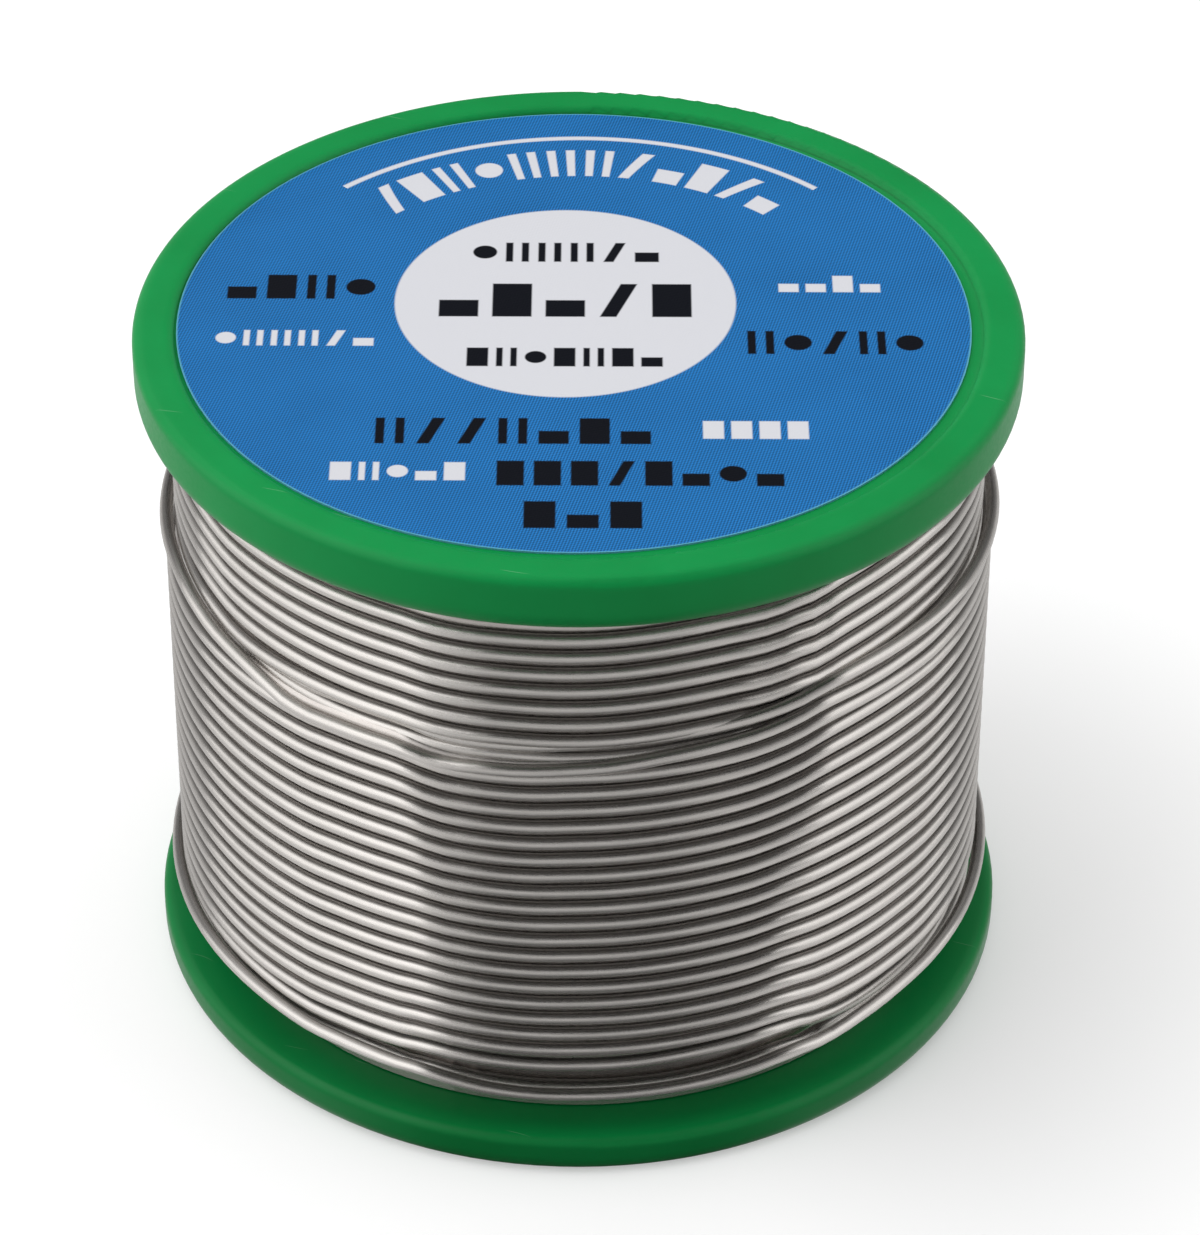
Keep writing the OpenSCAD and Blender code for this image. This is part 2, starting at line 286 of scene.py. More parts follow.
def makeWindingTree(name, lie, ends=None):
    tree, given, result = newGroup(name, "GeometryNodeTree", [
        ("First Turn", "NodeSocketFloat", 0.0),
        ("Last Turn", "NodeSocketFloat", outerFacts["endTurn"]),
        ("Rings per Turn", "NodeSocketInt", wireFacts["ringsPerTurn"]),
        ("Sides", "NodeSocketInt", outerFacts["sides"]),
        ("Wire Diameter", "NodeSocketFloat", wireFacts["diameter"]),
        ("Layer Radius", "NodeSocketFloat", outerFacts["radius"]),
        ("Height at Turn 0", "NodeSocketFloat", 0.0),
        ("Pitch", "NodeSocketFloat", wireFacts["pitch"]),
        ("Pivot Height", "NodeSocketFloat", wireFacts["pivotHeight"]),
        ("Material", "NodeSocketMaterial", None),
    ], [("Geometry", "NodeSocketGeometry")])
    value = given.outputs
    turns = calc(tree, "SUBTRACT", value["Last Turn"], value["First Turn"])
    rings = calc(tree, "CEIL", calc(tree, "MULTIPLY", turns, value["Rings per Turn"]))
    count = calc(tree, "ADD", rings, 1.0)
    straight = addNode(tree, "GeometryNodeCurvePrimitiveLine")
    ringed = addNode(tree, "GeometryNodeResampleCurve", {"mode": "COUNT"},
                     {"Curve": straight.outputs[0], "Count": count})
    index = tree.nodes.new("GeometryNodeInputIndex").outputs[0]
    along = calc(tree, "MULTIPLY", calc(tree, "DIVIDE", index, rings), turns)
    turn = calc(tree, "ADD", along, value["First Turn"])
    wholeTurns = 4.0             # added so that the place round the reel is never below 0
    phase = calc(tree, "FRACT", calc(tree, "ADD", turn, wholeTurns))
    angle = calc(tree, "MULTIPLY_ADD", turn, math.tau, math.pi / 2)
    plain = calc(tree, "MULTIPLY_ADD", turn, value["Pitch"], value["Height at Turn 0"])
    fromPivot = calc(tree, "SUBTRACT", plain, value["Pivot Height"])
    spread = calc(tree, "MULTIPLY", followCurve(tree, phase, lie["spread"]), fromPivot)
    shift = calc(tree, "MULTIPLY", followCurve(tree, phase, lie["shift"]), mm)
    height = calc(tree, "ADD", plain, calc(tree, "ADD", spread, shift))
    radius = value["Layer Radius"]
    if ends:
        span = ends["endSpan"]
        fromStart = calc(tree, "DIVIDE", along, span)
        pastSpan = calc(tree, "SUBTRACT", along, calc(tree, "SUBTRACT", turns, span))
        fromEnd = calc(tree, "DIVIDE", pastSpan, span)
        for spot, lift, bulge in (
            (fromStart, "startLift", "startBulge"), (fromEnd, "endLift", "endBulge"),
        ):
            limited = addNode(tree, "ShaderNodeClamp", inputs={"Value": spot}).outputs[0]
            lifted, bulged = (
                [(turnsIn / span, amount) for turnsIn, amount in ends[key]] for key in (lift, bulge)
            )
            height = calc(tree, "MULTIPLY_ADD", followCurve(tree, limited, lifted), mm, height)
            radius = calc(tree, "MULTIPLY_ADD", followCurve(tree, limited, bulged), mm, radius)
    place = addNode(tree, "ShaderNodeCombineXYZ", inputs={
        "X": calc(tree, "MULTIPLY", radius, calc(tree, "COSINE", angle)),
        "Y": calc(tree, "MULTIPLY", radius, calc(tree, "SINE", angle)),
        "Z": height,
    })
    wound = addNode(tree, "GeometryNodeSetPosition",
                    inputs={"Geometry": ringed.outputs[0], "Position": place.outputs[0]})
    upright = addNode(tree, "GeometryNodeSetCurveNormal", {"mode": "Z_UP"},
                      {"Curve": wound.outputs[0]})
    length = tree.nodes.new("GeometryNodeSplineParameter").outputs["Length"]
    lengthKept = addNode(tree, "GeometryNodeCaptureAttribute", {"domain": "POINT"})
    lengthKept.capture_items.new("FLOAT", "Length")
    tree.links.new(upright.outputs[0], lengthKept.inputs["Geometry"])
    tree.links.new(length, lengthKept.inputs["Length"])
    half = calc(tree, "MULTIPLY", value["Wire Diameter"], 0.5)
    circle = addNode(tree, "GeometryNodeCurvePrimitiveCircle", {"mode": "RADIUS"},
                     {"Resolution": value["Sides"], "Radius": half})
    roundKept = addNode(tree, "GeometryNodeCaptureAttribute", {"domain": "POINT"})
    roundKept.capture_items.new("VECTOR", "Round")
    tree.links.new(circle.outputs[0], roundKept.inputs["Geometry"])
    spot = tree.nodes.new("GeometryNodeInputPosition").outputs[0]
    tree.links.new(spot, roundKept.inputs["Round"])
    tube = addNode(tree, "GeometryNodeCurveToMesh", inputs={
        "Curve": lengthKept.outputs["Geometry"],
        "Profile Curve": roundKept.outputs["Geometry"],
        "Fill Caps": True,
    })
    across = split(tree, roundKept.outputs["Round"])
    flow = addNode(tree, "ShaderNodeCombineXYZ", inputs={
        "X": across["X"], "Y": across["Y"], "Z": lengthKept.outputs["Length"],
    })
    named = addNode(tree, "GeometryNodeStoreNamedAttribute",
                    {"data_type": "FLOAT_VECTOR", "domain": "POINT"},
                    {"Geometry": tube.outputs[0], "Name": "wireFlow", "Value": flow.outputs[0]})
    smooth = addNode(tree, "GeometryNodeSetShadeSmooth", inputs={"Geometry": named.outputs[0]})
    real = addNode(tree, "GeometryNodeRealizeInstances", inputs={"Geometry": smooth.outputs[0]})
    finished = addNode(tree, "GeometryNodeSetMaterial",
                       inputs={"Geometry": real.outputs[0], "Material": value["Material"]})
    tree.links.new(finished.outputs[0], result.inputs[0])
    return tree


def bakeTree(name, tree, inputs):    # runs a geometry tree once and keeps the plain mesh
    carrier = bpy.data.objects.new(name + "Carrier", bpy.data.meshes.new(name + "Carrier"))
    scene.collection.objects.link(carrier)
    modifier = carrier.modifiers.new("nodes", "NODES")
    modifier.node_group = tree
    for socket in tree.interface.items_tree:
        if socket.in_out == "INPUT" and socket.name in inputs:
            modifier[socket.identifier] = inputs[socket.name]
    ready = carrier.evaluated_get(bpy.context.evaluated_depsgraph_get())
    mesh = bpy.data.meshes.new_from_object(ready)
    bpy.data.objects.remove(carrier)
    mesh.name = name
    piece = bpy.data.objects.new(name, mesh)
    scene.collection.objects.link(piece)
    return piece


def joinPieces(name, pieces):
    bpy.ops.object.select_all(action="DESELECT")
    for piece in pieces:
        piece.select_set(True)
    bpy.context.view_layer.objects.active = pieces[0]
    bpy.ops.object.join()
    pieces[0].name = pieces[0].data.name = name
    return pieces[0]


# ---- materials

def blend(tree, share, low, high):
    node = addNode(tree, "ShaderNodeMix", {"data_type": "RGBA"}, {0: share, 6: low, 7: high})
    return node.outputs[2]


wireFinish = {
    "streakScale": (9000, 9000, 260),    # per metre, across and along the wire
    "streakRange": (0.3, 0.7),
    "streakStrength": 0.25,
    "streakDepth": 0.01 * mm,
    "roughness": (0.22, 0.31),           # the drawn lines spread a reflection across the wire
    "anisotropy": 1.0,
    "anisotropyTurn": 0.25,
    "paintedFlankShade": (0.68, 0.94),               # how far a face leans up or down towards the next turn; such faces get painted shade in the base colour
    "bright": {"tin": (0.66, 0.63, 0.60, 1), "paintedFlankShadeTone": 0.55},
    "deepTone": {"tin": (0.62, 0.58, 0.55, 1), "paintedFlankShadeTone": 0.95},    # painted light and shade: a copy of the tin for the turns deep between others, its tone and flank shade set for the light that reaches there
}


def makeWireMaterial(name, facts, tone):
    material, tree, shader = newMaterial(name)
    flow = addNode(tree, "ShaderNodeAttribute", {"attribute_name": "wireFlow"}).outputs["Vector"]
    stretched = addNode(tree, "ShaderNodeMapping",
                        inputs={"Vector": flow, "Scale": facts["streakScale"]}).outputs[0]
    streaks = addNode(tree, "ShaderNodeTexNoise", {"noise_dimensions": "3D"},
                      {"Vector": stretched, "Scale": 1.0, "Detail": 3.0}).outputs["Fac"]
    bump = addNode(tree, "ShaderNodeBump", inputs={
        "Height": streaks, "Strength": facts["streakStrength"], "Distance": facts["streakDepth"]})
    tree.links.new(bump.outputs[0], shader.inputs["Normal"])
    # painted shade: faces that lean up or down towards the next turn are darkened in the base
    # colour, standing in for the dark they mirror
    facing = addNode(tree, "ShaderNodeTexCoord").outputs["Normal"]
    lean = calc(tree, "ABSOLUTE", split(tree, facing)["Z"])
    paintedFlankShade = ease(tree, lean, *facts["paintedFlankShade"], 0.0, 1.0 - tone["paintedFlankShadeTone"])
    tree.links.new(blend(tree, paintedFlankShade, tone["tin"], (0, 0, 0, 1)), shader.inputs["Base Color"])
    feed(tree, 1.0, shader.inputs["Metallic"])
    feed(tree, facts["anisotropy"], shader.inputs["Anisotropic"])
    feed(tree, facts["anisotropyTurn"], shader.inputs["Anisotropic Rotation"])
    along = addNode(tree, "ShaderNodeTangent", {"direction_type": "RADIAL", "axis": "Z"})
    tree.links.new(along.outputs[0], shader.inputs["Tangent"])
    roughness = remap(tree, streaks, *facts["streakRange"], *facts["roughness"])
    tree.links.new(roughness, shader.inputs["Roughness"])
    return material


def makeMottleGroup():    # slow, cloudy change from 0 to 1, as in moulded plastic and printed film
    tree, given, result = newGroup("cloudyMottle", "ShaderNodeTree", [
        ("Place", "NodeSocketVector", None),
        ("Patch Size", "NodeSocketFloat", 6 * mm),
        ("Contrast", "NodeSocketFloat", 1.0),
    ], [("Mottle", "NodeSocketFloat")])
    scale = calc(tree, "DIVIDE", 1.0, given.outputs["Patch Size"])
    cloud = addNode(tree, "ShaderNodeTexNoise", inputs={
        "Vector": given.outputs["Place"], "Scale": scale, "Detail": 4.0, "Roughness": 0.55,
    }).outputs["Fac"]
    spread = calc(tree, "MULTIPLY", calc(tree, "SUBTRACT", cloud, 0.5), given.outputs["Contrast"])
    feed(tree, calc(tree, "ADD", calc(tree, "MULTIPLY", spread, 2.0), 0.5), result.inputs[0])
    return tree


def makeScratchGroup():    # thin short scratches, 1 on a scratch
    facts = {
        "wander": 3 * mm, "wanderScale": 160.0,
        "length": 1.7,                                  # of a cell with one scratch, in spacings
        "fadeIn": (0.1, 0.3), "fadeOut": (0.6, 0.9),    # along a cell
    }
    tree, given, result = newGroup("hairScratches", "ShaderNodeTree", [
        ("Place", "NodeSocketVector", None),
        ("Spacing", "NodeSocketFloat", 4 * mm),
        ("Width", "NodeSocketFloat", 0.02),
        ("Turn", "NodeSocketFloat", 0.0),
        ("Share", "NodeSocketFloat", 0.3),
    ], [("Scratch", "NodeSocketFloat")])
    value = given.outputs
    turned = addNode(tree, "ShaderNodeVectorRotate", {"rotation_type": "Z_AXIS"},
                     {"Vector": value["Place"], "Angle": value["Turn"]}).outputs[0]
    bent = addNode(tree, "ShaderNodeTexNoise", inputs={
        "Vector": turned, "Scale": facts["wanderScale"], "Detail": 1.0}).outputs["Fac"]
    parts = split(tree, turned)
    wander = calc(tree, "MULTIPLY", bent, facts["wander"])
    across = calc(tree, "DIVIDE", calc(tree, "ADD", parts["Y"], wander), value["Spacing"])
    fromLine = calc(tree, "ABSOLUTE", calc(tree, "SUBTRACT", calc(tree, "FRACT", across), 0.5))
    line = ease(tree, fromLine, 0.0, value["Width"], 1.0, 0.0)
    cellLength = calc(tree, "MULTIPLY", value["Spacing"], facts["length"])
    along = calc(tree, "DIVIDE", parts["X"], cellLength)
    cell = addNode(tree, "ShaderNodeCombineXYZ", inputs={
        "X": calc(tree, "FLOOR", along), "Y": calc(tree, "FLOOR", across)})
    chance = addNode(tree, "ShaderNodeTexWhiteNoise", {"noise_dimensions": "3D"},
                     {"Vector": cell.outputs[0]}).outputs["Value"]
    kept = calc(tree, "LESS_THAN", chance, value["Share"])
    within = calc(tree, "FRACT", along)
    ends = calc(tree, "MULTIPLY", remap(tree, within, *facts["fadeIn"], 0.0, 1.0),
                remap(tree, within, *facts["fadeOut"], 1.0, 0.0))
    scratch = calc(tree, "MULTIPLY", calc(tree, "MULTIPLY", line, kept), ends)
    feed(tree, scratch, result.inputs[0])
    return tree


def makeRowGroup():    # one row of plain printed marks, bars and dots by chance, 1 on the ink
    facts = {
        "softEdge": 0.06 * mm,
        "halfWidth": 0.37,                      # of a mark, in steps
        "slant": 0.35,
        "slantWidth": 0.42,                     # the next three in half widths
        "twinApart": 0.66, "twinWidth": 0.3,
        # a mark is a full bar up to the first of these chances, and then what the name says
        "low": 0.3, "twin": 0.5, "slanted": 0.68, "dot": 0.86,
    }
    tree, given, result = newGroup("printedRow", "ShaderNodeTree", [
        ("Across", "NodeSocketFloat", 0.0),
        ("Up", "NodeSocketFloat", 0.0),
        ("Middle Across", "NodeSocketFloat", 0.0),
        ("Middle Up", "NodeSocketFloat", 0.0),
        ("Marks", "NodeSocketFloat", 5.0),
        ("Height", "NodeSocketFloat", 3 * mm),
        ("Step", "NodeSocketFloat", 2.5 * mm),
        ("Seed", "NodeSocketFloat", 0.0),
    ], [("Ink", "NodeSocketFloat")])
    value = given.outputs
    fromMiddle = calc(tree, "SUBTRACT", value["Across"], value["Middle Across"])
    steps = calc(tree, "DIVIDE", fromMiddle, value["Step"])
    steps = calc(tree, "MULTIPLY_ADD", value["Marks"], 0.5, steps)
    number = calc(tree, "FLOOR", steps)
    inRow = calc(tree, "MULTIPLY", calc(tree, "GREATER_THAN", steps, 0.0),
                 calc(tree, "LESS_THAN", steps, value["Marks"]))
    offMark = calc(tree, "SUBTRACT", calc(tree, "FRACT", steps), 0.5)
    side = calc(tree, "MULTIPLY", offMark, value["Step"])
    up = calc(tree, "SUBTRACT", value["Up"], value["Middle Up"])
    half = calc(tree, "MULTIPLY", value["Step"], facts["halfWidth"])
    tall = calc(tree, "MULTIPLY", value["Height"], 0.5)

    def inside(amount, limit):    # below 0 within the limit
        return calc(tree, "SUBTRACT", calc(tree, "ABSOLUTE", amount), limit)

    inHeight = inside(up, tall)
    inWidth = inside(side, half)
    bar = calc(tree, "MAXIMUM", inWidth, inHeight)
    halfTall = calc(tree, "MULTIPLY", tall, 0.5)
    low = calc(tree, "MAXIMUM", inWidth, inside(calc(tree, "ADD", up, halfTall), halfTall))
    leaning = calc(tree, "MULTIPLY_ADD", up, -facts["slant"], side)
    thin = calc(tree, "MULTIPLY", half, facts["slantWidth"])
    slanted = calc(tree, "MAXIMUM", inside(leaning, thin), inHeight)
    outer = inside(side, calc(tree, "MULTIPLY", half, facts["twinApart"]))
    thin = calc(tree, "MULTIPLY", half, facts["twinWidth"])
    twin = calc(tree, "MAXIMUM", inside(outer, thin), inHeight)
    squared = calc(tree, "ADD", calc(tree, "MULTIPLY", side, side), calc(tree, "MULTIPLY", up, up))
    dot = calc(tree, "SUBTRACT", calc(tree, "SQRT", squared), calc(tree, "MINIMUM", half, tall))
    chance = addNode(tree, "ShaderNodeTexWhiteNoise", {"noise_dimensions": "1D"},
                     {"W": calc(tree, "ADD", number, value["Seed"])}).outputs["Value"]
    mark = bar
    for name, other in (("low", low), ("twin", twin), ("slanted", slanted), ("dot", dot)):
        pick = calc(tree, "GREATER_THAN", chance, facts[name])
        mark = addNode(tree, "ShaderNodeMix", {"data_type": "FLOAT"},
                       {0: pick, 2: mark, 3: other}).outputs[0]
    ink = remap(tree, mark, -facts["softEdge"], facts["softEdge"], 1.0, 0.0)
    feed(tree, calc(tree, "MULTIPLY", ink, inRow), result.inputs[0])
    return tree


mottleGroup = makeMottleGroup()
scratchGroup = makeScratchGroup()
rowGroup = makeRowGroup()


def placeGroup(tree, group, **inputs):
    node = tree.nodes.new("ShaderNodeGroup")
    node.node_tree = group
    for name, value in inputs.items():
        feed(tree, value, node.inputs[name])
    return node.outputs[0]


def makeReelMaterial():
    facts = {
        "green": (0.0012, 0.225, 0.046, 1),
        "paleGreen": (0.002, 0.29, 0.066, 1),
        "scuff": (0.25, 0.48, 0.30, 1),
        "clouds": {"Patch Size": 14 * mm, "Contrast": 0.9},
        "grain": {"Patch Size": 0.35 * mm, "Contrast": 0.8},
        "scratches": {"Spacing": 1.6 * mm, "Width": 0.025, "Turn": 0.35, "Share": 0.035},
        "scuffShare": 0.5, "scuffRoughness": 0.15,
        "grainRange": (0.2, 0.8), "roughness": (0.30, 0.39),
        "specular": 0.17,
        "lowPaintedShade": 0.66, "lowPaintedShadeZone": (4 * mm, 12 * mm),    # painted shade: the green gets darker towards the lower flange, across this span of heights
        "softEdge": 0.9 * mm,
        "grainRelief": 0.15, "reliefStrength": 0.3, "reliefDepth": 0.012 * mm,
    }
    material, tree, shader = newMaterial("mouldedGreen")
    place = addNode(tree, "ShaderNodeTexCoord").outputs["Object"]
    mottle = placeGroup(tree, mottleGroup, Place=place, **facts["clouds"])
    grain = placeGroup(tree, mottleGroup, Place=place, **facts["grain"])
    scratches = placeGroup(tree, scratchGroup, Place=place, **facts["scratches"])
    colour = blend(tree, mottle, facts["green"], facts["paleGreen"])
    scuffed = calc(tree, "MULTIPLY", scratches, facts["scuffShare"])
    colour = blend(tree, scuffed, colour, facts["scuff"])
    height = split(tree, place)["Z"]
    # painted shade: the colour gets darker towards the bottom, standing in for shade on the lower
    # flange
    paintedLowShade = ease(tree, height, *facts["lowPaintedShadeZone"], 1.0 - facts["lowPaintedShade"], 0.0)
    colour = blend(tree, paintedLowShade, colour, (0, 0, 0, 1))
    tree.links.new(colour, shader.inputs["Base Color"])
    roughness = calc(tree, "ADD", remap(tree, grain, *facts["grainRange"], *facts["roughness"]),
                     calc(tree, "MULTIPLY", scratches, facts["scuffRoughness"]))
    tree.links.new(roughness, shader.inputs["Roughness"])
    relief = calc(tree, "SUBTRACT", calc(tree, "MULTIPLY", grain, facts["grainRelief"]), scratches)
    rounded = addNode(tree, "ShaderNodeBevel", {"samples": 8}, {"Radius": facts["softEdge"]})
    bump = addNode(tree, "ShaderNodeBump", inputs={
        "Height": relief, "Strength": facts["reliefStrength"], "Distance": facts["reliefDepth"],
        "Normal": rounded.outputs[0]})
    tree.links.new(bump.outputs[0], shader.inputs["Normal"])
    feed(tree, facts["specular"], shader.inputs["Specular IOR Level"])
    return material


def makeLabelMaterial():
    facts = {
        "blue": (0.009, 0.130, 0.366, 1),
        "white": (0.585, 0.59, 0.625, 1),
        "black": (0.004, 0.005, 0.009, 1),
        "cutEdge": (0.12, 0.42, 0.52, 1),
        "middle": (-0.35 * mm, 0.25 * mm),       # of the film
        "radius": 28.95 * mm,
        "discMiddle": (-1.0 * mm, 2.75 * mm),    # of the white disc
        "discRadius": 12.5 * mm,
        "weaveStep": 0.214 * mm,
        "weaveTurn": -13.6,                      # degrees
        "crossThread": 0.8, "weaveContrast": 0.36, "weaveRelief": 0.5,
        "clouds": {"Patch Size": 9 * mm, "Contrast": 0.8}, "cloudTone": (0.92, 1.08),
        "softEdge": 0.08 * mm,                   # of the print
        "cutEdgeFrom": 0.16 * mm, "cutEdgeTo": 0.04 * mm, "cutEdgeShare": 0.8,
        "roughness": 0.42, "specular": 0.1,
        "reliefStrength": 0.25, "reliefDepth": 0.01 * mm,
        "seedStep": 17.0,
        # rows of marks: middle across, middle up, number of marks, height, step; in mm
        "blackRows": [
            (-1.0, 9.4, 6, 2.6, 2.4), (-1.0, 2.9, 5, 4.4, 3.9), (-1.0, -4.6, 7, 2.4, 2.1),
            (-20.4, 4.6, 4, 3.2, 2.9), (18.6, -2.6, 5, 3.0, 2.7),
            (-4.6, -14.0, 7, 3.2, 2.9), (4.4, -19.2, 8, 3.0, 2.6), (0.4, -24.2, 3, 3.2, 3.0),
        ],
        "whiteRows": [
            (-20.6, -2.2, 6, 2.0, 2.0), (18.4, 5.2, 4, 2.2, 2.0),
            (12.6, -13.8, 4, 2.2, 2.0), (-12.6, -19.0, 5, 2.2, 2.0),
        ],
        "arc": {
            "radius": 22.0 * mm, "height": 3.7 * mm, "from": 46.0, "to": 134.0, "marks": 12,
            "seed": 3.0,
        },
        "line": {"radius": 25.6 * mm, "width": 0.5 * mm},    # thin and white, outside the arc
    }
    material, tree, shader = newMaterial("printedLabel")
    place = addNode(tree, "ShaderNodeTexCoord").outputs["Object"]
    parts = split(tree, place)

    def fromPoint(point):    # distance from a point of the face
        across = calc(tree, "SUBTRACT", parts["X"], point[0])
        up = calc(tree, "SUBTRACT", parts["Y"], point[1])
        return calc(tree, "SQRT", calc(tree, "ADD", calc(tree, "MULTIPLY", across, across),
                                       calc(tree, "MULTIPLY", up, up)))

    turn = math.radians(facts["weaveTurn"])
    scale = math.tau / facts["weaveStep"]
    threads = []
    for cosine, sine in ((math.cos(turn), math.sin(turn)), (-math.sin(turn), math.cos(turn))):
        run = calc(tree, "MULTIPLY", parts["Y"], sine * scale)
        run = calc(tree, "MULTIPLY_ADD", parts["X"], cosine * scale, run)
        threads.append(calc(tree, "SINE", run))
    weave = calc(tree, "MULTIPLY_ADD", threads[1], facts["crossThread"], threads[0])
    mottle = placeGroup(tree, mottleGroup, Place=place, **facts["clouds"])
    tone = calc(tree, "ADD", calc(tree, "MULTIPLY", weave, facts["weaveContrast"]),
                remap(tree, mottle, 0.0, 1.0, *facts["cloudTone"]))
    grey = addNode(tree, "ShaderNodeCombineColor",
                   inputs={"Red": tone, "Green": tone, "Blue": tone}).outputs[0]
    blue = addNode(tree, "ShaderNodeMix", {"data_type": "RGBA", "blend_type": "MULTIPLY"},
                   {0: 1.0, 6: facts["blue"], 7: grey}).outputs[2]
    soft = facts["softEdge"]
    pastDisc = calc(tree, "SUBTRACT", fromPoint(facts["discMiddle"]), facts["discRadius"])
    onDisc = remap(tree, pastDisc, -soft, soft, 1.0, 0.0)
    colour = blend(tree, onDisc, blue, facts["white"])

    def inkOf(rows):
        ink = None
        for seed, (across, up, marks, height, step) in enumerate(rows):
            row = placeGroup(tree, rowGroup, **{
                "Across": parts["X"], "Up": parts["Y"],
                "Middle Across": across * mm, "Middle Up": up * mm,
                "Marks": marks, "Height": height * mm, "Step": step * mm,
                "Seed": facts["seedStep"] * seed + marks})
            ink = row if ink is None else calc(tree, "MAXIMUM", ink, row)
        return ink

    arc = facts["arc"]
    angle = calc(tree, "ARCTAN2", parts["Y"], parts["X"])
    arcSpan = math.radians(arc["to"] - arc["from"])
    arcInk = placeGroup(tree, rowGroup, **{
        "Across": calc(tree, "MULTIPLY", angle, -arc["radius"]), "Up": fromPoint((0, 0)),
        "Middle Across": -math.radians((arc["from"] + arc["to"]) / 2) * arc["radius"],
        "Middle Up": arc["radius"], "Marks": arc["marks"], "Height": arc["height"],
        "Step": arcSpan * arc["radius"] / arc["marks"], "Seed": arc["seed"]})
    offLine = calc(tree, "SUBTRACT", fromPoint((0, 0)), facts["line"]["radius"])
    offLine = calc(tree, "ABSOLUTE", offLine)
    halfLine = facts["line"]["width"] / 2
    line = remap(tree, offLine, halfLine - soft, halfLine + soft, 1.0, 0.0)
    offMiddle = calc(tree, "ABSOLUTE", calc(tree, "SUBTRACT", angle, math.pi / 2))
    line = calc(tree, "MULTIPLY", line, calc(tree, "LESS_THAN", offMiddle, arcSpan / 2))
    whiteInk = calc(tree, "MAXIMUM", calc(tree, "MAXIMUM", inkOf(facts["whiteRows"]), arcInk), line)
    colour = blend(tree, whiteInk, colour, facts["white"])
    colour = blend(tree, inkOf(facts["blackRows"]), colour, facts["black"])
    edge = remap(tree, fromPoint(facts["middle"]), facts["radius"] - facts["cutEdgeFrom"],
                 facts["radius"] - facts["cutEdgeTo"], 0.0, facts["cutEdgeShare"])
    colour = blend(tree, edge, colour, facts["cutEdge"])
    tree.links.new(colour, shader.inputs["Base Color"])
    feed(tree, facts["roughness"], shader.inputs["Roughness"])
    feed(tree, facts["specular"], shader.inputs["Specular IOR Level"])
    relief = calc(tree, "ADD", calc(tree, "MULTIPLY", weave, facts["weaveRelief"]), mottle)
    bump = addNode(tree, "ShaderNodeBump", inputs={
        "Height": relief, "Strength": facts["reliefStrength"], "Distance": facts["reliefDepth"]})
    tree.links.new(bump.outputs[0], shader.inputs["Normal"])
    return material


wireMaterial = makeWireMaterial("drawnSolder", wireFinish, wireFinish["bright"])
# painted light and shade: the deep turns and the core get a copy of the tin whose tone is set for
# the light between the turns
deepToneMaterial = makeWireMaterial("deepToneSolder", wireFinish, wireFinish["deepTone"])
reelMaterial = makeReelMaterial()
labelMaterial = makeLabelMaterial()
print("materials made")


# ---- the winding

def makeWinding():
    pitch = wireFacts["pitch"]
    zeroHeight = wireFacts["pivotHeight"] - wireFacts["turnsBelowPivot"] * pitch

    def wind(name, tree, material, facts, height):
        return bakeTree(name, tree, {
            "First Turn": facts["startTurn"], "Last Turn": facts["endTurn"],
            "Sides": facts["sides"], "Layer Radius": facts["radius"], "Height at Turn 0": height,
            "Rings per Turn": wireFacts["ringsPerTurn"], "Wire Diameter": wireFacts["diameter"],
            "Pitch": pitch, "Pivot Height": wireFacts["pivotHeight"], "Material": material,
        })

    outerTree = makeWindingTree("outerWinding", coveredLie, outerFacts)
    outer = wind("wire_outer_turns", outerTree, wireMaterial, outerFacts, zeroHeight)
    coveredTree = makeWindingTree("coveredWinding", coveredLie)
    nested = wind("wire_nested_turns", coveredTree, deepToneMaterial, nestedFacts,
                  zeroHeight + nestedFacts["height"] * pitch)
    openTree = makeWindingTree("openWinding", openLie, openFacts)
    opened = wind("wire_upper_turns", openTree, wireMaterial, openFacts, openFacts["lowestHeight"])
    underTree = makeWindingTree("underWinding", openLie)
    under = wind("wire_under_turns", underTree, deepToneMaterial, {
        "startTurn": openFacts["startTurn"] - underFacts["startsEarlier"],
        "endTurn": openFacts["endTurn"] - underFacts["endsEarlier"],
        "radius": openFacts["radius"] - wireFacts["layerStep"],
        "sides": underFacts["sides"],
    }, openFacts["lowestHeight"] + pitch / 2)
    inner = joinPieces("wire_inner_turns", [nested, under])
    return outer, opened, inner


outerTurns, upperTurns, innerTurns = makeWinding()
for piece, node in (
    (outerTurns, "wire_outer_layer"), (upperTurns, "wire_open_turns"),
    (innerTurns, "wire_inner_layers"),
):
    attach(piece, "root")
    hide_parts(node)
windings = (outerTurns, upperTurns, innerTurns)
print("winding made, faces:", *(len(piece.data.polygons) for piece in windings))


def makeCore():    # closes the view between the turns
    facts = {"radius": 28.5 * mm, "segments": 96, "rows": 30}
    lowest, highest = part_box("wire_inner_layers")
    tall = highest.z - lowest.z
    levels = [lowest.z + tall * row / facts["rows"] for row in range(facts["rows"] + 1)]
    mesh = bpy.data.meshes.new("wire_core")
    radius, count = facts["radius"], facts["segments"]
    points, faces = [], []
    for level in levels:
        for step in range(count):
            angle = math.tau * step / count
            points.append((radius * math.cos(angle), radius * math.sin(angle), level))
    for row in range(len(levels) - 1):
        for step in range(count):
            after = (step + 1) % count
            faces.append((row * count + step, row * count + after,
                          (row + 1) * count + after, (row + 1) * count + step))
    faces.append(tuple(reversed(range(count))))
    faces.append(tuple((len(levels) - 1) * count + step for step in range(count)))
    mesh.from_pydata(points, [], faces)
    mesh.materials.append(deepToneMaterial)
    core = bpy.data.objects.new("wire_core", mesh)
    scene.collection.objects.link(core)
    return core


core = makeCore()
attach(core, "root")

for nodeName, material in (
    ("reel_body", reelMaterial), ("upper_flange", reelMaterial), ("face_label", labelMaterial),
    ("wire_start", wireMaterial),
):
    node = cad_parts[nodeName]
    node.data.materials.clear()
    node.data.materials.append(material)


# ---- studio

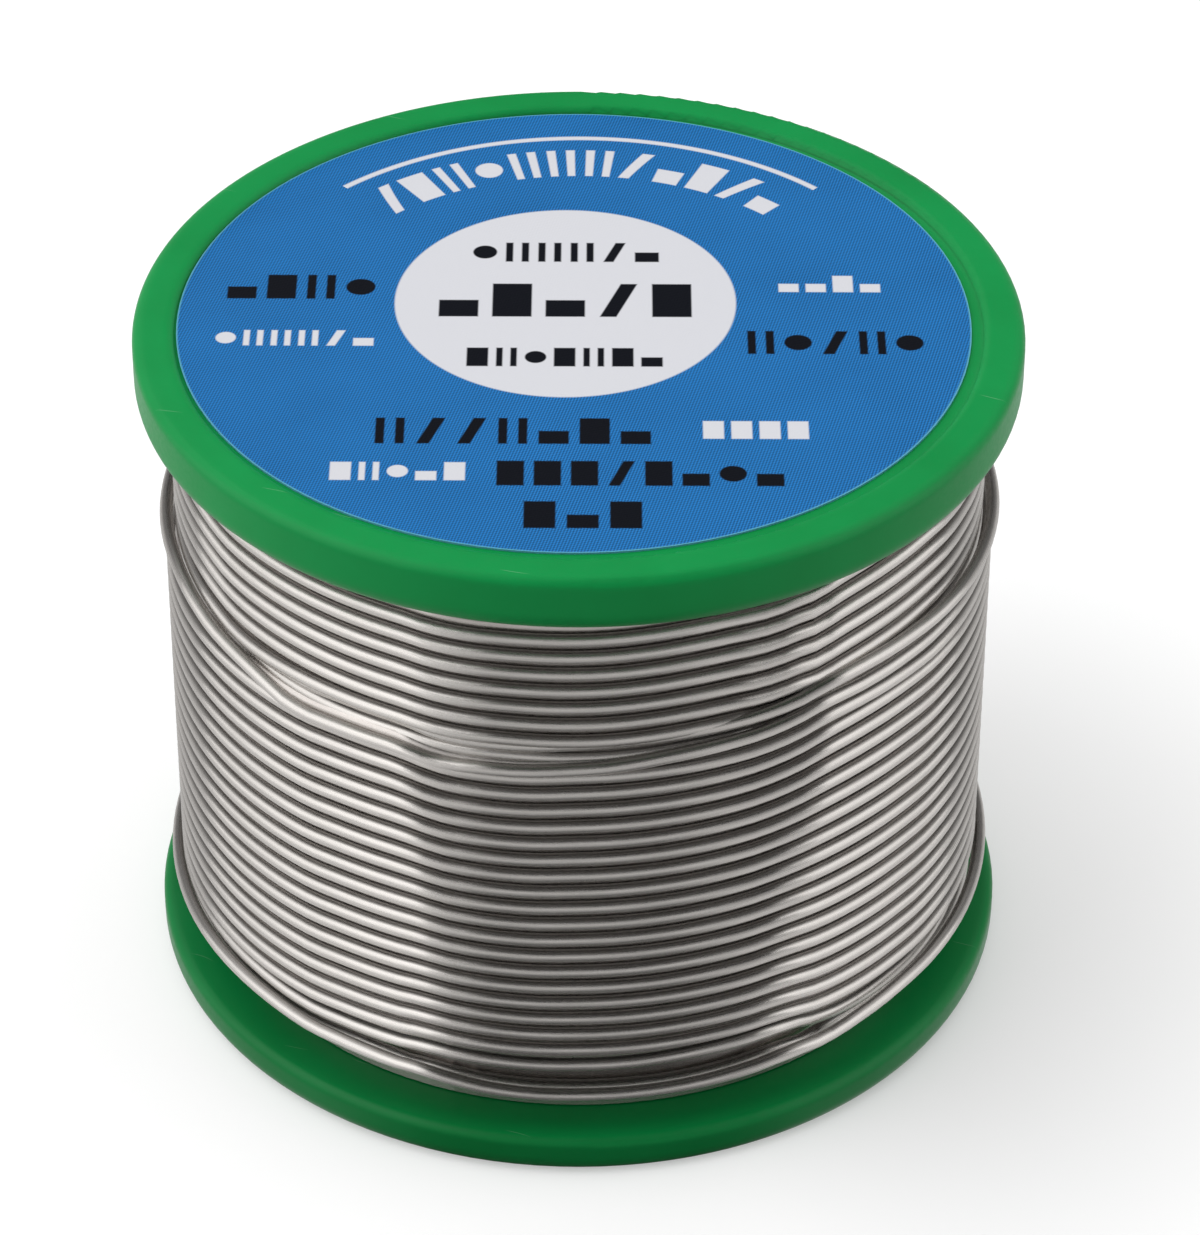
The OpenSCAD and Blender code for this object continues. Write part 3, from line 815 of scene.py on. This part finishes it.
studioFacts = {
    "floor": {
        "radius": 3.0, "corners": 96,
        "seenShare": 0.25, "seenGlow": 1.65,
        "seenPaper": (0.78, 0.78, 0.78, 1), "bouncePaper": (0.3, 0.3, 0.3, 1),
        # painted shadow beside the reel, where the floor's camera-seen glow is lowered: how far
        # from its axis, and how far to the right
        "paintedShadowGlow": 1.15, "paintedShadowNear": (36 * mm, 72 * mm), "paintedShadowRight": (0.3, 0.85),
        # painted light: how brightly the floor glows in the wire's reflections, in front of the
        # reel, near it and far from it, and elsewhere
        "mirroredNear": 0.1, "mirroredFar": 0.6, "mirroredFrom": (45 * mm, 110 * mm),
        "mirroredSides": 0.7, "mirroredFront": (-0.97, -0.8),
    },
    "left": {
        "azimuth": -163.0, "distance": 0.45, "lift": 0.46,
        "width": 0.69, "height": 0.9, "radiance": 0.91,
    },
    "right": {
        "azimuth": -5.0, "distance": 0.45, "lift": 0.32,
        "width": 0.44, "height": 0.62, "radiance": 0.85,
    },
    "top": {"width": 0.5, "depth": 1.0, "height": 0.7, "back": -0.75, "radiance": 0.27},
    # The pairs of numbers say between which X, Y or Z of a direction the room changes.
    "room": {
        "front": 0.70, "frontHigh": 0.0, "frontTop": (0.35, 0.7),
        "frontRight": (0.5, 0.68), "frontRightShare": 0.62,
        "back": 0.42, "overhead": 0.0, "backTop": (0.3, 0.55),
        "backMiddle": (0.1, 0.4), "backMiddleShare": 0.15, "backFrom": (-0.35, 0.15),
        "leftWall": {"towards": -1, "slant": (-1, 0.36, -0.26), "low": 0.38, "high": 1.1},
        "rightWall": {"towards": 1, "slant": (1, 0.68, -0.5), "low": 0.24, "high": 0.85},
        "wallTop": (0.55, 0.8), "wallEdge": (-0.05, 0.07), "wallGap": 0.12,
        # what lights the surfaces that don't mirror
        "leftFill": 1.5, "rightFill": 0.9, "fillAcross": (-0.6, 0.6),
        "frontFill": 0.1, "fillFrom": (-0.85, -0.2),
    },
}


def addLamp(name, width, height, radiance, place, turn=(0, 0, 0), mirrored=True):
    data = bpy.data.lights.new(name, "AREA")
    data.shape = "RECTANGLE"
    data.size, data.size_y = width, height
    data.energy = radiance * math.pi * width * height
    lamp = bpy.data.objects.new(name, data)
    lamp.location, lamp.rotation_euler = place, turn
    lamp.visible_camera = False
    lamp.visible_glossy = mirrored
    scene.collection.objects.link(lamp)


def makeSoftbox(name, facts):    # upright, turned towards the reel
    azimuth, distance = math.radians(facts["azimuth"]), facts["distance"]
    place = (distance * math.cos(azimuth), distance * math.sin(azimuth), facts["lift"])
    addLamp(name, facts["width"], facts["height"], facts["radiance"], place,
            turn=(math.pi / 2, 0, azimuth + math.pi / 2))


def makeTopLight(facts):
    place = (0, facts["back"], facts["height"])
    addLamp("topSoftbox", facts["width"], facts["depth"], facts["radiance"], place, mirrored=False)


def finishShader(tree, kind, share, low, high):    # mixes two shaders into the output
    mixed = addNode(tree, "ShaderNodeMixShader", inputs={0: share})
    tree.links.new(low.outputs[0], mixed.inputs[1])
    tree.links.new(high.outputs[0], mixed.inputs[2])
    output = tree.nodes.new(kind)
    tree.links.new(mixed.outputs[0], output.inputs[0])


def makeWorld(facts):
    world = bpy.data.worlds.new("studio")
    scene.world = world
    world.use_nodes = True
    tree = world.node_tree
    tree.nodes.clear()
    direction = addNode(tree, "ShaderNodeTexCoord").outputs["Generated"]
    parts = split(tree, direction)
    behind = ease(tree, parts["Z"], *facts["backTop"], facts["back"], facts["overhead"])
    offMiddle = calc(tree, "ABSOLUTE", parts["X"])
    behind = calc(tree, "MULTIPLY", behind,
                  ease(tree, offMiddle, *facts["backMiddle"], facts["backMiddleShare"], 1.0))
    backness = ease(tree, parts["Y"], *facts["backFrom"], 0.0, 1.0)
    ahead = ease(tree, parts["Z"], *facts["frontTop"], facts["front"], facts["frontHigh"])
    ahead = calc(tree, "MULTIPLY", ahead,
                 ease(tree, parts["X"], *facts["frontRight"], 1.0, facts["frontRightShare"]))
    strength = calc(tree, "MULTIPLY_ADD", backness, calc(tree, "SUBTRACT", behind, ahead), ahead)
    for wall in (facts["leftWall"], facts["rightWall"]):
        past = addNode(tree, "ShaderNodeVectorMath", {"operation": "DOT_PRODUCT"},
                       {0: direction, 1: wall["slant"]}).outputs["Value"]
        clear = calc(tree, "MULTIPLY_ADD", parts["X"], wall["towards"], -facts["wallGap"])
        inWall = calc(tree, "MINIMUM", past, clear)
        glow = ease(tree, parts["Z"], *facts["wallTop"], wall["low"], wall["high"])
        glow = ease(tree, inWall, *facts["wallEdge"], 0.0, glow)
        strength = calc(tree, "MAXIMUM", strength, glow)
    aside = ease(tree, parts["X"], *facts["fillAcross"], facts["leftFill"], facts["rightFill"])
    fill = ease(tree, parts["Y"], *facts["fillFrom"], facts["frontFill"], aside)
    path = tree.nodes.new("ShaderNodeLightPath")
    strength = addNode(tree, "ShaderNodeMix", {"data_type": "FLOAT"},
                       {0: path.outputs["Is Glossy Ray"], 2: fill, 3: strength}).outputs[0]
    backdrop = addNode(tree, "ShaderNodeBackground",
                       inputs={"Color": (1, 1, 1, 1), "Strength": strength})
    seen = addNode(tree, "ShaderNodeBackground", inputs={"Color": (1, 1, 1, 1), "Strength": 1.0})
    finishShader(tree, "ShaderNodeOutputWorld", path.outputs["Is Camera Ray"], backdrop, seen)


def makeFloor(facts):
    mesh = bpy.data.meshes.new("studioFloor")
    count = facts["corners"]
    angles = [math.tau * step / count for step in range(count)]
    corners = [(facts["radius"] * math.cos(angle), facts["radius"] * math.sin(angle), 0)
               for angle in angles]
    mesh.from_pydata(corners, [], [tuple(range(count))])
    floor = bpy.data.objects.new("studioFloor", mesh)
    scene.collection.objects.link(floor)
    material = bpy.data.materials.new("palePaper")
    material.use_nodes = True
    tree = material.node_tree
    tree.nodes.clear()
    path = tree.nodes.new("ShaderNodeLightPath").outputs
    paper = blend(tree, path["Is Camera Ray"], facts["bouncePaper"], facts["seenPaper"])
    plain = addNode(tree, "ShaderNodeBsdfDiffuse", inputs={"Color": paper})
    place = addNode(tree, "ShaderNodeTexCoord").outputs["Object"]
    outward = addNode(tree, "ShaderNodeVectorMath", {"operation": "NORMALIZE"}, {0: place})
    outward = split(tree, outward.outputs[0])
    distance = addNode(tree, "ShaderNodeVectorMath", {"operation": "LENGTH"},
                       {0: place}).outputs["Value"]
    # painted light: the floor glows for reflected rays, dimmer in front of the reel near it
    ahead = ease(tree, distance, *facts["mirroredFrom"],
                 facts["mirroredNear"], facts["mirroredFar"])
    mirrored = ease(tree, outward["Y"], *facts["mirroredFront"], ahead, facts["mirroredSides"])
    share = calc(tree, "MULTIPLY", path["Is Camera Ray"], facts["seenShare"])
    share = calc(tree, "MAXIMUM", share, path["Is Glossy Ray"])
    # painted shadow: the glow the camera sees on the floor drops near the reel on its right
    near = ease(tree, distance, *facts["paintedShadowNear"], 1.0, 0.0)
    right = ease(tree, outward["X"], *facts["paintedShadowRight"], 0.0, 1.0)
    paintedShadow = calc(tree, "MULTIPLY", near, right)
    paintedShadowDrop = facts["paintedShadowGlow"] - facts["seenGlow"]
    seenGlow = calc(tree, "MULTIPLY_ADD", paintedShadow, paintedShadowDrop, facts["seenGlow"])
    glow = calc(tree, "MULTIPLY", path["Is Camera Ray"], seenGlow)
    glow = calc(tree, "MAXIMUM", glow, mirrored)
    seen = addNode(tree, "ShaderNodeEmission", inputs={"Color": (1, 1, 1, 1), "Strength": glow})
    finishShader(tree, "ShaderNodeOutputMaterial", share, plain, seen)
    mesh.materials.append(material)


makeSoftbox("leftSoftbox", studioFacts["left"])
makeSoftbox("rightSoftbox", studioFacts["right"])
makeTopLight(studioFacts["top"])
makeWorld(studioFacts["room"])
makeFloor(studioFacts["floor"])
scene.view_settings.view_transform = "Standard"
print("studio lit")
